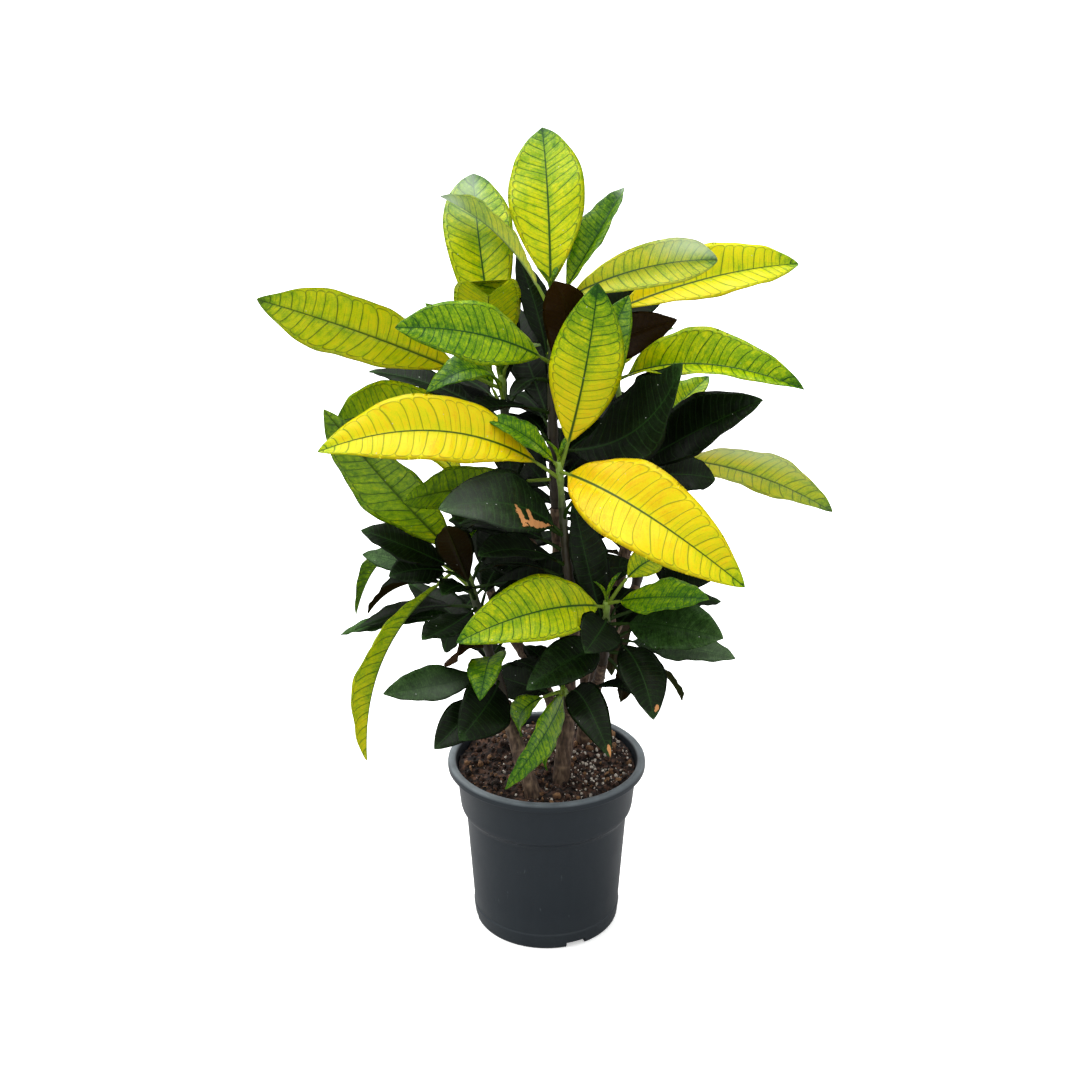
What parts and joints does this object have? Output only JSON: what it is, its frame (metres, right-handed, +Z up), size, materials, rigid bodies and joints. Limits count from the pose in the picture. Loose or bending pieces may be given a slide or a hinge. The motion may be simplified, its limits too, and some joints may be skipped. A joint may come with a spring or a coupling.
{
  "type": "potted croton",
  "caption": "Bushy croton house plant with broad yellow, green and near-black veined leaves on woody stems, in a tapered plastic nursery pot with a rolled rim.",
  "frame": {"origin": "on the ground at the centre of the pot's foot", "axes": "+Z up; the pictured side faces -Y, with +X to the right as seen in the picture"},
  "size_m": [0.57, 0.4415, 0.83],
  "materials": {
    "pot": "matt moulded polypropylene",
    "soil": "loose peat potting mix with perlite",
    "bark": "thin greyish brown bark",
    "old_leaf": "leathery glossy leaf",
    "young_leaf": "leathery satin leaf"
  },
  "bodies": {
    "root": {"pot": "pot", "soil": "soil", "stem_left": "bark", "stem_middle": "bark", "stem_right": "bark", "shoot_top_old": "old_leaf", "shoot_top_young": "young_leaf", "shoot_upper_left_old": "old_leaf", "shoot_upper_left_young": "young_leaf", "shoot_front_old": "old_leaf", "shoot_front_young": "young_leaf", "shoot_left_old": "old_leaf", "shoot_left_young": "young_leaf", "shoot_right_old": "old_leaf", "shoot_right_young": "young_leaf", "shoot_low_right_old": "old_leaf", "shoot_low_right_young": "young_leaf", "shoot_low_front_old": "old_leaf", "shoot_low_front_young": "young_leaf", "shoot_back_old": "old_leaf", "shoot_back_young": "young_leaf", "shoot_back_left_old": "old_leaf", "shoot_back_left_young": "young_leaf", "shoot_back_right_old": "old_leaf", "shoot_back_right_young": "young_leaf"}
  },
  "joints": []
}
